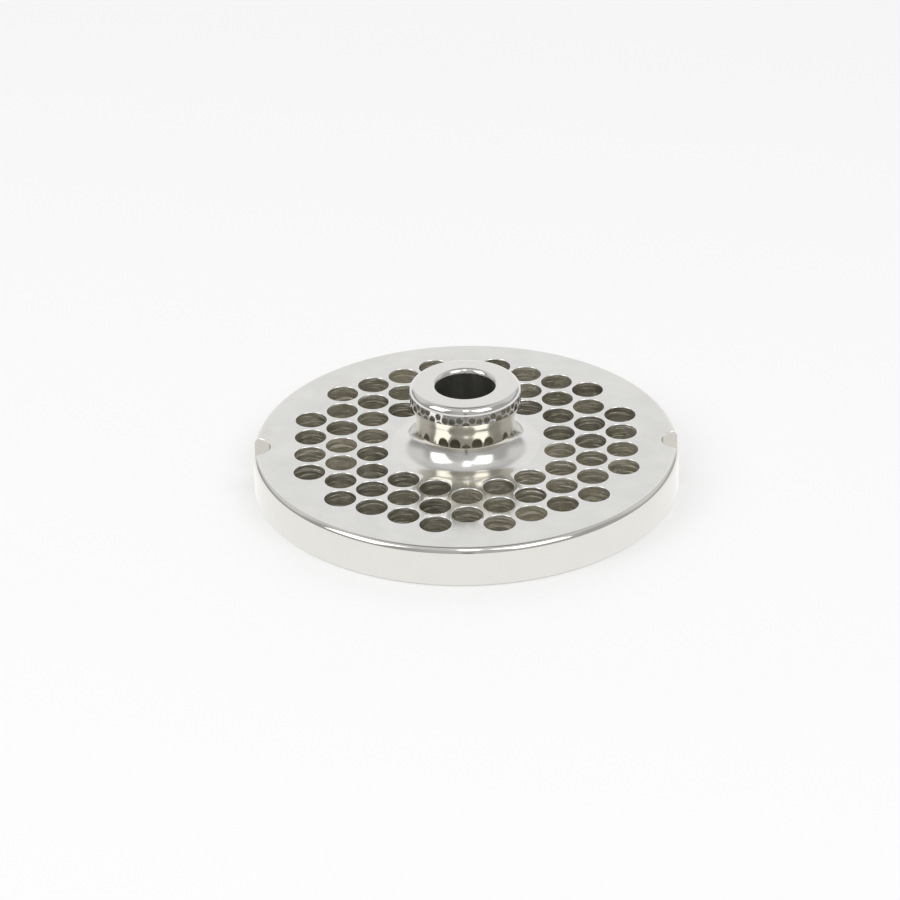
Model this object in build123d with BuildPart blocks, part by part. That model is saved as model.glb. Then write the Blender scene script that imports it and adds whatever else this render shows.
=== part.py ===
from build123d import *
import os
from math import cos, hypot, pi, radians, sin, sqrt, tan

# Hub plate of a meat grinder, size 22. Millimetres, +Z up. The origin is at the centre of the
# flat cutting face that the plate lies on. The bore runs along +Z, and the two key notches are on X.

# Plate
plate_diameter = 82.0
plate_thickness = 8.0
rim_round = 1.3  # hub side of the rim
foot_chamfer = 0.3  # cutting side of the rim

# Cutting holes, on a hexagonal lattice with one column through the centre along Y
hole_diameter = 6.0
hole_web = 0.93  # metal between two holes
hole_edge_break = 0.12
hub_land = 0.6  # least flat metal between the hub's fillet and a hole
rim_land = 5.5  # least solid ring outside the holes

# Key notches in the rim
notch_count = 2
notch_diameter = 6.8
notch_edge_break = 0.2

# Hub
hub_height = 13.0  # above the plate
flange_diameter = 21.4
flange_thickness = 3.5
flange_top_round = 1.5
flange_bottom_round = 0.35

# The turned neck: a hollow below the flange, a soft edge under it, and a flank that sweeps to the plate
hollow_depth = 1.3  # of the waist below the flange's edge
hollow_radius = 8.5
flare_angle = 22.5  # of the hollow where it meets the flange, from the axis
draft_angle = 3.0  # of the hollow's lower end, from the axis
edge_height = 3.9  # above the plate
edge_round = 1.0
foot_angle = 17.0  # of the flank below the edge, from the axis
foot_fillet = 5.0

# Bore
bore_diameter = 11.2
bore_lip_round = 1.0
bore_foot_chamfer = 0.4

plate_radius = plate_diameter / 2
hole_radius = hole_diameter / 2
hole_pitch = hole_diameter + hole_web
flange_radius = flange_diameter / 2
waist_radius = flange_radius - hollow_depth
bore_radius = bore_diameter / 2
total_height = plate_thickness + hub_height
flange_bottom = total_height - flange_thickness

# Straight flanks of the neck, as angles from the axis
flare, draft, lean = radians(flare_angle), radians(draft_angle), radians(foot_angle)
edge_level = plate_thickness + edge_height
edge_share = edge_round * tan((lean - draft) / 2)  # stretch of each flank that the soft edge takes

# The hollow is an arc between the flare and the draft line, and its narrowest point is the waist.
# In a short neck its radius gives way to the flanks.
hollow_room = flange_bottom - edge_level - edge_share - hollow_depth / tan(flare)
hollow_limit = 0.98 * hollow_room / ((1 / cos(flare) - 1) / tan(flare) + sin(draft))
hollow_round = min(hollow_radius, hollow_limit)
hollow_height = flange_bottom - (hollow_depth + hollow_round * (1 / cos(flare) - 1)) / tan(flare)


def draft_line(height):
    """Radius of the draft line at a height."""
    return waist_radius + hollow_round * (1 - 1 / cos(draft)) - (height - hollow_height) * tan(draft)


bend_height = (draft_line(0) - flange_radius + flange_bottom * tan(flare)) / (tan(flare) + tan(draft))
bend_radius = flange_radius - (flange_bottom - bend_height) * tan(flare)
edge_radius = draft_line(edge_level)
foot_radius = edge_radius + edge_height * tan(lean)

# The foot's fillet ends on its flank, below the soft edge
foot_room = edge_height / cos(lean) - edge_share
foot_round = min(foot_fillet, 0.98 * foot_room / tan((pi / 2 - lean) / 2))
fillet_reach = edge_radius + (edge_height - foot_round) * tan(lean) + foot_round / cos(lean)


def hole_field():
    """Lattice points whose holes clear the hub's fillet and leave the rim's solid ring."""
    nearest = fillet_reach + hub_land + hole_radius
    farthest = plate_radius - rim_land - hole_radius
    reach = int(farthest / hole_pitch) + 2
    spots = []
    for column in range(-reach, reach + 1):
        for row in range(-reach, reach + 1):
            x = column * hole_pitch * sqrt(3) / 2
            y = (row + column % 2 / 2) * hole_pitch
            if nearest <= hypot(x, y) <= farthest:
                spots.append((x, y))
    return spots


def through_cutter(radius, edge_break):
    """A drill through the plate that flares at the hub side. The cutting face keeps its sharp edges."""
    over = 0.5  # how far the cutter runs past each face
    with BuildPart() as cutter:
        with BuildSketch(Plane.XZ):
            with BuildLine():
                Polyline(
                    (0, -over),
                    (radius, -over),
                    (radius, plate_thickness - edge_break),
                    (radius + edge_break + over, plate_thickness + over),
                    (0, plate_thickness + over),
                    close=True,
                )
            make_face()
        revolve(axis=Axis.Z)
    return cutter.part


hole_cutter = through_cutter(hole_radius, hole_edge_break)
notch_cutter = through_cutter(notch_diameter / 2, notch_edge_break)

with BuildPart() as grinder_plate:
    # The plate and its hub are turned from one blank
    with BuildSketch(Plane.XZ) as section:
        with BuildLine():
            Polyline(
                (bore_radius, 0),
                (plate_radius, 0),
                (plate_radius, plate_thickness),
                (foot_radius, plate_thickness),
                (edge_radius, edge_level),
                (bend_radius, bend_height),
                (flange_radius, flange_bottom),
                (flange_radius, total_height),
                (bore_radius, total_height),
                close=True,
            )
        make_face()

        def corner(radius, height):
            """The section's corner at this radius and height."""
            return section.vertices().sort_by_distance((radius, height))[0]

        chamfer(corner(bore_radius, 0), bore_foot_chamfer)
        chamfer(corner(plate_radius, 0), foot_chamfer)
        fillet(corner(plate_radius, plate_thickness), rim_round)
        fillet(corner(foot_radius, plate_thickness), foot_round)
        fillet(corner(edge_radius, edge_level), edge_round)
        fillet(corner(bend_radius, bend_height), hollow_round)
        fillet(corner(flange_radius, flange_bottom), flange_bottom_round)
        fillet(corner(flange_radius, total_height), flange_top_round)
        fillet(corner(bore_radius, total_height), bore_lip_round)
    revolve(axis=Axis.Z)

    with Locations(*hole_field()):
        add(hole_cutter, mode=Mode.SUBTRACT)

    with PolarLocations(plate_radius, notch_count):
        add(notch_cutter, mode=Mode.SUBTRACT)

grinder_plate.part.label = "grinder_plate"

os.makedirs("parts", exist_ok=True)
export_step(grinder_plate.part, "parts/grinder_plate.step")
print(len(hole_field()), "holes, volume", round(grinder_plate.part.volume), "mm3")
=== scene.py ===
import bpy
from math import radians, sin, cos, sqrt, pi
from mathutils import Matrix, Vector


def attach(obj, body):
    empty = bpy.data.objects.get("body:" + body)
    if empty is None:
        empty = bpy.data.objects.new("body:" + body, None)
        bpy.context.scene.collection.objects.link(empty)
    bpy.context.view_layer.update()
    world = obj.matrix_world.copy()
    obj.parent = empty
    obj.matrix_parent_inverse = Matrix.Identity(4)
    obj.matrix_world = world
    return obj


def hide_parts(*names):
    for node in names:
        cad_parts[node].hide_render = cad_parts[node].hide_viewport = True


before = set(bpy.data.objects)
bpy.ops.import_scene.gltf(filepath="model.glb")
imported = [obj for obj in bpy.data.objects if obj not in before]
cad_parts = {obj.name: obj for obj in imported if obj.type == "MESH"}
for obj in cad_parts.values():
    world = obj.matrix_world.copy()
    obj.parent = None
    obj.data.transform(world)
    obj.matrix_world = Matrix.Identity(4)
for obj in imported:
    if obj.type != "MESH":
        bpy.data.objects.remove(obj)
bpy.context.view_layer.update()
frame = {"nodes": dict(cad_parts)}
scene = bpy.context.scene
mm = 0.001
print("frame loaded:", ", ".join(frame["nodes"]))


def feed(tree, socket, value):
    # a value is another node's socket or a plain one
    if isinstance(value, bpy.types.NodeSocket):
        tree.links.new(value, socket)
    else:
        socket.default_value = value


def addNode(tree, kind, ins=None, **settings):
    node = tree.nodes.new(kind)
    for key, value in settings.items():
        setattr(node, key, value)
    for key, value in (ins or {}).items():
        feed(tree, node.inputs[key], value)
    return node


def calc(tree, operation, a, b=0.0, c=0.0):
    return addNode(tree, "ShaderNodeMath", {0: a, 1: b, 2: c}, operation=operation).outputs[0]


viewSettings = {
    "lens": 206.386,            # mm
    "sensor": 36.0,             # mm
    "clip": (0.05, 20.0),       # m
    "distance": 1008.06,        # mm, to the aim point
    "elevation": 29.03,         # degrees above the table
    "azimuth": 0.15,
    "roll": -1.08,
    "aim": (-3.148, 11.679, 0.0),
}


def makeCamera(s):
    el, az, roll = (radians(s[k]) for k in ("elevation", "azimuth", "roll"))
    back = Vector((sin(az) * cos(el), -cos(az) * cos(el), sin(el)))
    side = (-back).cross(Vector((0, 0, 1))).normalized()
    top = side.cross(-back)
    across = cos(roll) * side + sin(roll) * top
    upward = cos(roll) * top - sin(roll) * side
    cam = bpy.data.objects.new("camera", bpy.data.cameras.new("camera"))
    cam.data.lens = s["lens"]
    cam.data.sensor_width = s["sensor"]
    cam.data.clip_start, cam.data.clip_end = s["clip"]
    place = (Vector(s["aim"]) + back * s["distance"]) * mm
    turn = Matrix((across, upward, back)).transposed().to_4x4()
    cam.matrix_world = Matrix.Translation(place) @ turn
    scene.collection.objects.link(cam)
    scene.camera = cam


makeCamera(viewSettings)
scene.view_settings.view_transform = "Standard"
print("camera set")


# Steel finishes. The lay is the spacing of the tool marks in mm, and its depth is in mm too.
# The clouds of tone are stretched where their factor along an axis is under 1.
finishes = {
    "groundFace": {"tone": (0.722, 0.718, 0.698), "rough": 0.15, "roughSpread": 0.09, "lay": 0.45,
                   "layDepth": 0.0016, "smudge": 0.09, "cloud": (1, 1, 1), "drilled": False},
    "polishedHub": {"tone": (0.722, 0.714, 0.690), "rough": 0.085, "roughSpread": 0.03, "lay": 0.5,
                    "layDepth": 0.0012, "smudge": 0.03, "cloud": (1, 1, 1), "drilled": False},
    "blendedFoot": {"tone": (0.735, 0.727, 0.702), "rough": 0.17, "roughSpread": 0.06, "lay": 0.5,
                    "layDepth": 0.0020, "smudge": 0.05, "cloud": (1, 1, 1), "drilled": False},
    "turnedNeck": {"tone": (0.665, 0.635, 0.550), "rough": 0.085, "roughSpread": 0.03, "lay": 0.5,
                   "layDepth": 0.0020, "smudge": 0.08, "cloud": (1, 1, 1), "drilled": False},
    "turnedRim": {"tone": (0.735, 0.722, 0.680), "rough": 0.10, "roughSpread": 0.04, "lay": 0.6,
                  "layDepth": 0.0006, "smudge": 0.03, "cloud": (1, 1, 1), "drilled": False},
    # the edge break's tone is near white, brighter than the steel itself: the edge break is real, and its
    # brightness is a painted highlight on the rims
    "edgeBreakPaintedHighlight": {"tone": (0.95, 0.945, 0.930), "rough": 0.20, "roughSpread": 0.05, "lay": 0.6,
                   "layDepth": 0.0006, "smudge": 0.03, "cloud": (1, 1, 1), "drilled": False},
    "drilledWall": {"tone": (0.88, 0.845, 0.74), "rough": 0.41, "roughSpread": 0.18, "lay": 0.85,
                    "layDepth": 0.45, "smudge": 0.42, "cloud": (0.6, 0.6, 0.3), "drilled": True},
    "milledNotch": {"tone": (0.62, 0.605, 0.555), "rough": 0.16, "roughSpread": 0.08, "lay": 0.7,
                    "layDepth": 0.0010, "smudge": 0.10, "cloud": (1, 1, 1), "drilled": False},
    "honedBore": {"tone": (0.80, 0.795, 0.755), "rough": 0.28, "roughSpread": 0.015, "lay": 1.2,
                  "layDepth": 0.0004, "smudge": 0.50, "cloud": (1.2, 1.2, 0.1), "drilled": False},
}
grain = {
    "cloudScale": 160.0,        # clouds a metre
    "fineScale": 1400.0,
    "cloudShare": 0.6,          # of the roughness, and the fine grain has the rest
    "noiseSpan": (0.3, 0.7),    # the noise between which tone and roughness run
    "drillDrift": 6.5,          # mm over which the marks in neighbouring holes change
}


def makeSteel(name, s):
    mat = bpy.data.materials.new(name)
    mat.use_nodes = True
    tree = mat.node_tree
    shader = tree.nodes["Principled BSDF"]
    shader.inputs["Metallic"].default_value = 1.0

    def vector(operation, a, b):
        return addNode(tree, "ShaderNodeVectorMath", {0: a, 1: b}, operation=operation)

    def noise(at, scale, detail):
        return addNode(tree, "ShaderNodeTexNoise", {"Vector": at, "Scale": scale, "Detail": detail})

    def spread(value, low, high):
        start, end = grain["noiseSpan"]
        return addNode(tree, "ShaderNodeMapRange", {0: value, 1: start, 2: end, 3: low, 4: high}).outputs[0]

    place = addNode(tree, "ShaderNodeTexCoord").outputs["Object"]
    if s["drilled"]:
        # marks that ring each hole, one depth over another, and differ from hole to hole
        drift = s["lay"] / grain["drillDrift"]
        markPlace = vector("MULTIPLY", place, (drift, drift, 1.0)).outputs[0]
    else:
        # marks that ring the axis
        height = addNode(tree, "ShaderNodeSeparateXYZ", {0: place}).outputs[2]
        radius = vector("LENGTH", vector("MULTIPLY", place, (1.0, 1.0, 0.0)).outputs[0], (0, 0, 0))
        markPlace = addNode(tree, "ShaderNodeCombineXYZ", {0: radius.outputs["Value"], 1: height}).outputs[0]
    marks = noise(markPlace, 1.0 / (s["lay"] * mm), 3.0)
    cloud = noise(vector("MULTIPLY", place, s["cloud"]).outputs[0], grain["cloudScale"], 5.0)
    for texture in (marks, cloud):
        texture.inputs["Roughness"].default_value = 0.6
    fine = noise(place, grain["fineScale"], 3.0)

    tone = spread(cloud.outputs["Fac"], 1.0 - s["smudge"], 1.0)
    colour = addNode(tree, "ShaderNodeVectorMath", {0: s["tone"], "Scale": tone}, operation="SCALE")
    feed(tree, shader.inputs["Base Color"], colour.outputs[0])

    mixed = calc(tree, "ADD", calc(tree, "MULTIPLY", cloud.outputs["Fac"], grain["cloudShare"]),
                 calc(tree, "MULTIPLY", fine.outputs["Fac"], 1.0 - grain["cloudShare"]))
    reach = s["roughSpread"] / 2
    feed(tree, shader.inputs["Roughness"], spread(mixed, s["rough"] - reach, s["rough"] + reach))

    bump = addNode(tree, "ShaderNodeBump", {"Height": marks.outputs["Fac"], "Distance": s["layDepth"] * mm,
                                            "Strength": 1.0})
    feed(tree, shader.inputs["Normal"], bump.outputs[0])
    return mat


steel = {name: makeSteel(name, s) for name, s in finishes.items()}
print("steel finishes made")


plateSettings = {
    "sizes": {                  # mm
        "plateRadius": 41.0,
        "plateThickness": 8.0,
        "rimRound": 1.3,
        "footChamfer": 0.3,
        "hubHeight": 13.0,
        "flangeRadius": 10.7,
        "flangeThickness": 3.5,
        "flangeTopRound": 1.5,
        "flangeFootRound": 0.35,
        "waistRadius": 9.4,
        "hollowRadius": 8.5,
        "edgeHeight": 3.9,      # above the plate
        "edgeRound": 1.0,
        "footFillet": 5.0,
        "boreRadius": 5.6,
        "boreLipRound": 1.0,
        "boreFootChamfer": 0.4,
        "holeRadius": 3.0,
        "holePitch": 6.93,
        "holeEdgeRound": 0.20,
        "nearestHole": 18.0,    # least distance of a hole's centre from the axis
        "farthestHole": 32.5,
        "notchRadius": 3.4,
        "notchEdgeRound": 0.25,
        "drillPast": 0.5,       # how far a drill runs past each face
        "boreMargin": 0.05,     # for telling the bore's wall by its radius
        "faceMargin": 0.005,    # for telling the hub from the plate's face by height
        "mergeGap": 0.002,
    },
    "angles": {                 # degrees, the first three from the axis
        "flareAngle": 22.5,
        "draftAngle": 3.0,
        "footAngle": 17.0,
        "crispAngle": 32.0,     # an edge that bends more than this stays sharp
    },
    "counts": {
        "turnedSteps": 400,
        "filletSteps": 12,
        "holeSteps": 64,
        "latticeReach": 6,      # columns each side of the axis
    },
}


def makeTree(s):
    tree = bpy.data.node_groups.new("grinderPlate", "GeometryNodeTree")
    face = tree.interface
    face.new_socket("Geometry", in_out="INPUT", socket_type="NodeSocketGeometry")
    for names, kind in (((*s["sizes"], *s["angles"]), "Float"), (s["counts"], "Int"), (steel, "Material")):
        for name in names:
            face.new_socket(name, in_out="INPUT", socket_type="NodeSocket" + kind)
    face.new_socket("Geometry", in_out="OUTPUT", socket_type="NodeSocketGeometry")
    given = tree.nodes.new("NodeGroupInput").outputs
    result = tree.nodes.new("NodeGroupOutput").inputs

    def shape(kind, ins, **settings):
        return addNode(tree, "GeometryNode" + kind, ins, **settings).outputs[0]

    def plus(a, b):
        return calc(tree, "ADD", a, b)

    def minus(a, b):
        return calc(tree, "SUBTRACT", a, b)

    def times(a, b):
        return calc(tree, "MULTIPLY", a, b)

    def ratio(a, b):
        return calc(tree, "DIVIDE", a, b)

    def more(a, b):
        return calc(tree, "GREATER_THAN", a, b)

    def less(a, b):
        return calc(tree, "LESS_THAN", a, b)

    def spot(x=0.0, y=0.0, z=0.0):
        return addNode(tree, "ShaderNodeCombineXYZ", {0: x, 1: y, 2: z}).outputs[0]

    index = tree.nodes.new("GeometryNodeInputIndex").outputs[0]

    def turned(corners, closed, pathRadius, steps):
        # a section of (radius, height, rounding) corners, swept round the axis
        places = addNode(tree, "GeometryNodeIndexSwitch", {"Index": index}, data_type="VECTOR")
        rounds = addNode(tree, "GeometryNodeIndexSwitch", {"Index": index}, data_type="FLOAT")
        for node in (places, rounds):
            while len(node.index_switch_items) < len(corners):
                node.index_switch_items.new()
        for i, (radius, height, rounding) in enumerate(corners):
            feed(tree, places.inputs[i + 1], spot(minus(radius, pathRadius), times(height, -1.0)))
            feed(tree, rounds.inputs[i + 1], rounding)
        line = shape("MeshLine", {"Count": len(corners)})
        line = shape("SetPosition", {"Geometry": line, "Position": places.outputs[0]})
        line = shape("MeshToCurve", {"Mesh": line})
        line = shape("SetSplineCyclic", {"Geometry": line, "Cyclic": closed})
        line = shape("FilletCurve", {"Curve": line, "Count": given["filletSteps"],
                                     "Radius": rounds.outputs[0]}, mode="POLY")
        path = shape("CurvePrimitiveCircle", {"Resolution": steps, "Radius": pathRadius})
        path = shape("SetCurveNormal", {"Curve": path}, mode="Z_UP")
        swept = shape("CurveToMesh", {"Curve": path, "Profile Curve": line})
        return shape("MergeByDistance", {"Geometry": swept, "Distance": given["mergeGap"]})

    def painted(piece, material, chosen=True):
        return shape("SetMaterial", {"Geometry": piece, "Material": given[material], "Selection": chosen})

    # Neck: a flare under the flange runs into a hollow, then a draft line, a soft edge and the foot's flank
    top = given["plateThickness"]
    crown = plus(top, given["hubHeight"])
    flangeFoot = minus(crown, given["flangeThickness"])
    angles = [given[name] for name in ("flareAngle", "draftAngle", "footAngle")]
    flare, draft, foot = (calc(tree, "TANGENT", angle) for angle in angles)
    secFlare, secDraft, secFoot = (ratio(1.0, calc(tree, "COSINE", angle)) for angle in angles)
    flareReach = plus(minus(given["flangeRadius"], given["waistRadius"]),
                      times(given["hollowRadius"], minus(secFlare, 1.0)))
    hollowHeight = minus(flangeFoot, ratio(flareReach, flare))
    hollowStart = minus(plus(given["waistRadius"], given["hollowRadius"]),
                        times(given["hollowRadius"], secDraft))
    draftStart = plus(hollowStart, times(hollowHeight, draft))
    bendReach = plus(minus(draftStart, given["flangeRadius"]), times(flangeFoot, flare))
    bendHeight = ratio(bendReach, plus(flare, draft))
    bendRadius = minus(given["flangeRadius"], times(minus(flangeFoot, bendHeight), flare))
    edgeLevel = plus(top, given["edgeHeight"])
    edgeRadius = minus(draftStart, times(edgeLevel, draft))
    footRadius = plus(edgeRadius, times(given["edgeHeight"], foot))
    filletReach = plus(plus(edgeRadius, times(minus(given["edgeHeight"], given["footFillet"]), foot)),
                       times(given["footFillet"], secFoot))

    # The plate and hub turned from one blank
    body = turned([
        (plus(given["boreRadius"], given["boreFootChamfer"]), 0.0, 0.0),
        (given["boreRadius"], given["boreFootChamfer"], 0.0),
        (given["boreRadius"], crown, given["boreLipRound"]),
        (given["flangeRadius"], crown, given["flangeTopRound"]),
        (given["flangeRadius"], flangeFoot, given["flangeFootRound"]),
        (bendRadius, bendHeight, given["hollowRadius"]),
        (edgeRadius, edgeLevel, given["edgeRound"]),
        (footRadius, top, given["footFillet"]),
        (given["plateRadius"], top, given["rimRound"]),
        (given["plateRadius"], given["footChamfer"], 0.0),
        (minus(given["plateRadius"], given["footChamfer"]), 0.0, 0.0),
    ], True, times(given["flangeRadius"], 1.5), given["turnedSteps"])

    # Finish by place: ground faces, polished hub, blended foot, turned neck and rim
    position = tree.nodes.new("GeometryNodeInputPosition").outputs[0]
    x, y, height = addNode(tree, "ShaderNodeSeparateXYZ", {0: position}).outputs
    normal = tree.nodes.new("GeometryNodeInputNormal").outputs[0]
    slope = addNode(tree, "ShaderNodeSeparateXYZ", {0: normal}).outputs[2]
    awayFromAxis = calc(tree, "SQRT", plus(times(x, x), times(y, y)))
    onRim = times(more(awayFromAxis, times(given["flangeRadius"], 2.5)),
                  more(0.99, calc(tree, "ABSOLUTE", slope)))
    onHub = times(less(awayFromAxis, filletReach), more(height, plus(top, given["faceMargin"])))
    onNeck = times(less(height, flangeFoot), more(height, minus(edgeLevel, given["edgeRound"])))
    body = painted(body, "groundFace")
    body = painted(body, "polishedHub", onHub)
    body = painted(body, "blendedFoot", times(onHub, less(height, edgeLevel)))
    body = painted(body, "turnedNeck", times(less(awayFromAxis, filletReach), onNeck))
    body = painted(body, "turnedRim", onRim)

    # One drill for the holes and one for the notches, each flared where it breaks the edge
    def drill(radius, edge, material):
        past = given["drillPast"]
        flared = plus(radius, times(edge, 1.3))
        bit = turned([
            (0.0, plus(top, past), 0.0),
            (flared, plus(top, past), 0.0),
            (flared, plus(top, times(edge, 0.12)), 0.0),
            (radius, minus(top, times(edge, 0.08)), edge),
            (radius, times(past, -1.0), 0.0),
            (0.0, times(past, -1.0), 0.0),
        ], False, times(radius, 0.5), given["holeSteps"])
        # the flared edge faces get the near-white edge tone, a painted highlight on every hole's and notch's
        # rim
        onEdge = more(height, minus(top, times(edge, 0.9)))
        return painted(painted(bit, material), "edgeBreakPaintedHighlight", onEdge)

    # Hexagonal lattice: every other column moves by half a pitch
    column = times(given["holePitch"], sqrt(3) / 2)
    across = times(given["latticeReach"], 2.0)
    grid = shape("MeshGrid", {"Size X": times(across, column), "Size Y": times(across, given["holePitch"]),
                              "Vertices X": plus(across, 1.0), "Vertices Y": plus(across, 1.0)})
    columnNumber = calc(tree, "ROUND", ratio(x, column))
    odd = calc(tree, "ABSOLUTE", calc(tree, "FLOORED_MODULO", columnNumber, 2.0))
    shift = spot(y=times(odd, times(given["holePitch"], 0.5)))
    lattice = shape("SetPosition", {"Geometry": grid, "Offset": shift})
    spare = plus(less(awayFromAxis, given["nearestHole"]), more(awayFromAxis, given["farthestHole"]))
    lattice = shape("DeleteGeometry", {"Geometry": lattice, "Selection": spare}, domain="POINT")
    holes = shape("InstanceOnPoints", {
        "Points": lattice, "Instance": drill(given["holeRadius"], given["holeEdgeRound"], "drilledWall")})

    # Two notches, opposite each other on X
    pair = shape("MeshLine", {"Count": 2, "Start Location": spot(times(given["plateRadius"], -1.0)),
                              "Offset": spot(times(given["plateRadius"], 2.0))})
    notches = shape("InstanceOnPoints", {
        "Points": pair, "Instance": drill(given["notchRadius"], given["notchEdgeRound"], "milledNotch")})

    cutters = addNode(tree, "GeometryNodeJoinGeometry")
    for instances in (holes, notches):
        feed(tree, cutters.inputs[0], shape("RealizeInstances", {"Geometry": instances}))
    body = shape("MeshBoolean", {"Mesh 1": body, "Mesh 2": cutters.outputs[0]},
                 operation="DIFFERENCE", solver="MANIFOLD")
    body = shape("SetShadeSmooth", {"Geometry": body, "Shade Smooth": True}, domain="FACE")
    bend = tree.nodes.new("GeometryNodeInputMeshEdgeAngle").outputs["Unsigned Angle"]
    body = shape("SetShadeSmooth", {"Geometry": body, "Selection": more(bend, given["crispAngle"]),
                                    "Shade Smooth": False}, domain="EDGE")
    body = shape("RealizeInstances", {"Geometry": body})
    body = painted(body, "honedBore", less(awayFromAxis, plus(given["boreRadius"], given["boreMargin"])))
    feed(tree, result[0], body)
    return tree


def applyModifiers(piece):
    ready = piece.evaluated_get(bpy.context.evaluated_depsgraph_get())
    mesh = bpy.data.meshes.new_from_object(ready)
    piece.modifiers.clear()
    piece.data = mesh


def makePlate(s):
    piece = bpy.data.objects.new("grinder_plate_visual", bpy.data.meshes.new("seed"))
    scene.collection.objects.link(piece)
    nodes = piece.modifiers.new("plate", "NODES")
    nodes.node_group = makeTree(s)
    values = {name: value * mm for name, value in s["sizes"].items()}
    values.update({name: radians(value) for name, value in s["angles"].items()})
    values.update(s["counts"])
    values.update(steel)
    for item in nodes.node_group.interface.items_tree:
        if item.name in values:
            nodes[item.identifier] = values[item.name]
    applyModifiers(piece)
    even = piece.modifiers.new("even", "WEIGHTED_NORMAL")
    even.keep_sharp, even.weight = True, 100
    applyModifiers(piece)
    piece.data.name = "grinder_plate_visual"
    return piece


plate = makePlate(plateSettings)
print("plate made:", len(plate.data.vertices), "points,", len(plate.data.polygons), "faces")
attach(plate, "root")
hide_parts("grinder_plate")


# A white table under two softboxes and a strip, in a pale room
room = {
    "tableHalf": 1.6,           # m
    "tableGap": 0.03,           # mm, keeps the table clear of the cutting face
    "contact": 0.2,             # mm, nearer than this the steel mirrors the table as lit
    "tableTone": 0.55,
    "tableLift": 0.46,          # added for the camera, so that the table is nearly white
    "tableInSteel": 1.08,       # the lit table and sweep as the steel mirrors them
    "backdrop": 1.0,
    "ceiling": 0.72,
    "ceilingGap": 0.30,         # between the backdrop's top and the lit ceiling
    "gapEnds": 0.15,            # how much of the gap is left at its two ends
    "rightWall": 0.46,
    "rightHigh": 0.78,          # the walls' higher part, towards the backdrop
    "leftWall": 0.40,
    "leftHigh": 0.78,
    "nearWall": 0.55,
    "stand": 0.25,              # the dark stand under the camera
}
roomEdges = {                   # where one tone runs into the next, along a direction's x, y or z
    "wallRise": (0.15, 0.45),
    "wallBack": (-0.05, 0.30),
    "leftEnd": (-0.60, -0.20),
    "rightStart": (0.25, 0.65),
    "standSide": (0.03, 0.06),
    "standTop": (0.42, 0.47),
    "standFront": (-0.8, -0.7),
    "sweepSide": (-0.08, 0.12),
    "sweepBack": (-0.1, 0.45),
    "ceilingRise": (0.70, 0.88),
    "gapRise": (0.70, 0.78),
    "gapNear": (0.10, 0.16),
    "gapFar": (0.42, 0.56),
    "gapSide": (0.12, 0.42),
    "horizon": (-0.02, 0.02),
}
softBoxes = {                   # direction from the plate, distance, width and height in m, radiance
    "leftBox": {"toward": (-0.679, -0.331, 0.656), "far": 1.0, "size": (0.54, 0.62), "level": 2.0},
    "rightBox": {"toward": (0.452, -0.502, 0.738), "far": 1.0, "size": (0.50, 0.57), "level": 2.0},
    "middleStrip": {"toward": (0.010, -0.470, 0.883), "far": 1.0, "size": (0.13, 0.44), "level": 1.9},
}


def makeTable(s):
    half, level = s["tableHalf"], -s["tableGap"] * mm
    corners = [(x * half, y * half, level) for x, y in ((-1, -1), (1, -1), (1, 1), (-1, 1))]
    mesh = bpy.data.meshes.new("table")
    mesh.from_pydata(corners, [], [(0, 1, 2, 3)])
    table = bpy.data.objects.new("table", mesh)
    scene.collection.objects.link(table)
    mat = bpy.data.materials.new("paleTable")
    mat.use_nodes = True
    tree = mat.node_tree
    tree.nodes.clear()
    path = tree.nodes.new("ShaderNodeLightPath").outputs
    place = addNode(tree, "ShaderNodeTexCoord").outputs["Object"]
    radius = addNode(tree, "ShaderNodeVectorMath", {0: place}, operation="LENGTH").outputs["Value"]
    # under the plate the hole walls mirror only the light that comes down the holes
    beside = calc(tree, "GREATER_THAN", radius, plateSettings["sizes"]["plateRadius"] * mm)
    touching = calc(tree, "LESS_THAN", path["Ray Length"], s["contact"] * mm)
    mirrored = calc(tree, "MULTIPLY", path["Is Glossy Ray"], calc(tree, "MAXIMUM", beside, touching))
    seen = calc(tree, "MAXIMUM", path["Is Camera Ray"], path["Is Transmission Ray"])
    matt = addNode(tree, "ShaderNodeBsdfDiffuse", {"Color": (s["tableTone"],) * 3 + (1,)})
    glow = addNode(tree, "ShaderNodeEmission", {"Strength": calc(tree, "MULTIPLY", seen, s["tableLift"])})
    lit = addNode(tree, "ShaderNodeAddShader", {0: matt.outputs[0], 1: glow.outputs[0]})
    image = addNode(tree, "ShaderNodeEmission", {"Strength": s["tableInSteel"]})
    both = addNode(tree, "ShaderNodeMixShader", {0: mirrored, 1: lit.outputs[0], 2: image.outputs[0]})
    addNode(tree, "ShaderNodeOutputMaterial", {0: both.outputs[0]})
    mesh.materials.append(mat)


def makeLamps(boxes):
    for name, s in boxes.items():
        lamp = bpy.data.lights.new(name, "AREA")
        lamp.shape = "RECTANGLE"
        lamp.size, lamp.size_y = s["size"]
        lamp.energy = s["level"] * lamp.size * lamp.size_y * pi
        obj = bpy.data.objects.new(name, lamp)
        toward = Vector(s["toward"]).normalized()
        turn = toward.to_track_quat("Z", "Y").to_matrix().to_4x4()
        obj.matrix_world = Matrix.Translation(toward * s["far"]) @ turn
        scene.collection.objects.link(obj)


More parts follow.
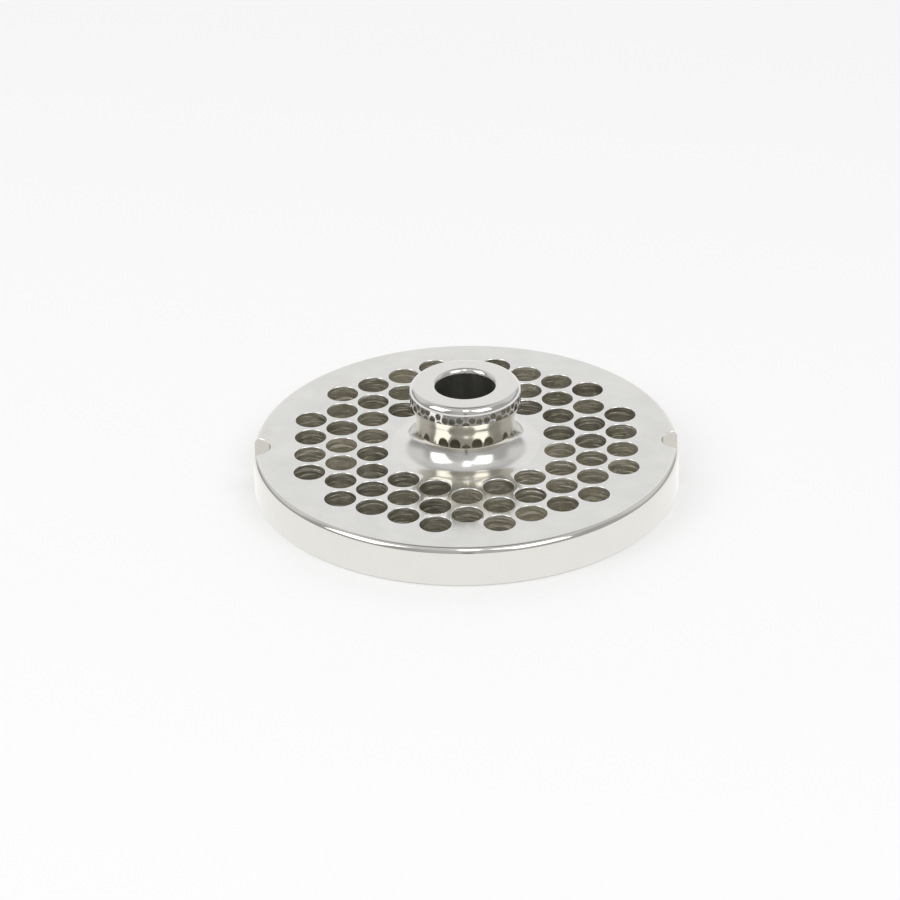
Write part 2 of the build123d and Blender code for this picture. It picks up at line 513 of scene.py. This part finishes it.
def makeWorld(s, edges):
    world = bpy.data.worlds.new("studio")
    scene.world = world
    world.use_nodes = True
    tree = world.node_tree
    back = tree.nodes["Background"]
    path = tree.nodes.new("ShaderNodeLightPath").outputs
    direction = tree.nodes.new("ShaderNodeTexCoord").outputs["Generated"]
    x, y, z = addNode(tree, "ShaderNodeSeparateXYZ", {0: direction}).outputs
    besideX = calc(tree, "ABSOLUTE", x)

    def fade(value, edge, low, high):
        start, end = edges[edge]
        return addNode(tree, "ShaderNodeMapRange", {0: value, 1: start, 2: end, 3: low, 4: high},
                       interpolation_type="SMOOTHSTEP").outputs[0]

    def rising(value, edge):
        return fade(value, edge, 0.0, 1.0)

    def falling(value, edge):
        return fade(value, edge, 1.0, 0.0)

    def product(first, *others):
        for other in others:
            first = calc(tree, "MULTIPLY", first, other)
        return first

    def covered(under, cover, amount):
        bare = calc(tree, "SUBTRACT", 1.0, amount)
        return calc(tree, "ADD", product(bare, under), product(amount, cover))

    def turnedAway(acrossX):
        return calc(tree, "ADD", product(x, acrossX), product(y, 0.6))

    # walls by side, darkest low down and in front
    high = product(rising(z, "wallRise"), rising(y, "wallBack"))
    left = covered(s["leftWall"], s["leftHigh"], high)
    right = covered(s["rightWall"], s["rightHigh"], high)
    level = covered(left, s["nearWall"], rising(x, "leftEnd"))
    level = covered(level, right, rising(x, "rightStart"))
    stand = product(falling(besideX, "standSide"), falling(z, "standTop"), falling(y, "standFront"))
    level = covered(level, s["stand"], stand)
    # the white backdrop behind, the ceiling, the gap between them, and the table's far part below
    sweep = product(rising(turnedAway(0.8), "sweepSide"), rising(turnedAway(-0.8), "sweepSide"),
                    rising(y, "sweepBack"))
    level = covered(level, s["backdrop"], sweep)
    level = covered(level, s["ceiling"], rising(z, "ceilingRise"))
    gap = product(rising(z, "gapRise"), rising(y, "gapNear"), falling(y, "gapFar"),
                  fade(besideX, "gapSide", 1.0, s["gapEnds"]))
    level = covered(level, s["ceilingGap"], gap)
    level = covered(level, s["tableInSteel"], falling(z, "horizon"))
    seen = calc(tree, "MAXIMUM", path["Is Camera Ray"], path["Is Transmission Ray"])
    feed(tree, back.inputs["Strength"], calc(tree, "MAXIMUM", level, seen))
    back.inputs["Color"].default_value = (1, 1, 1, 1)


makeTable(room)
makeLamps(softBoxes)
makeWorld(room, roomEdges)
print("table, lamps and world made")
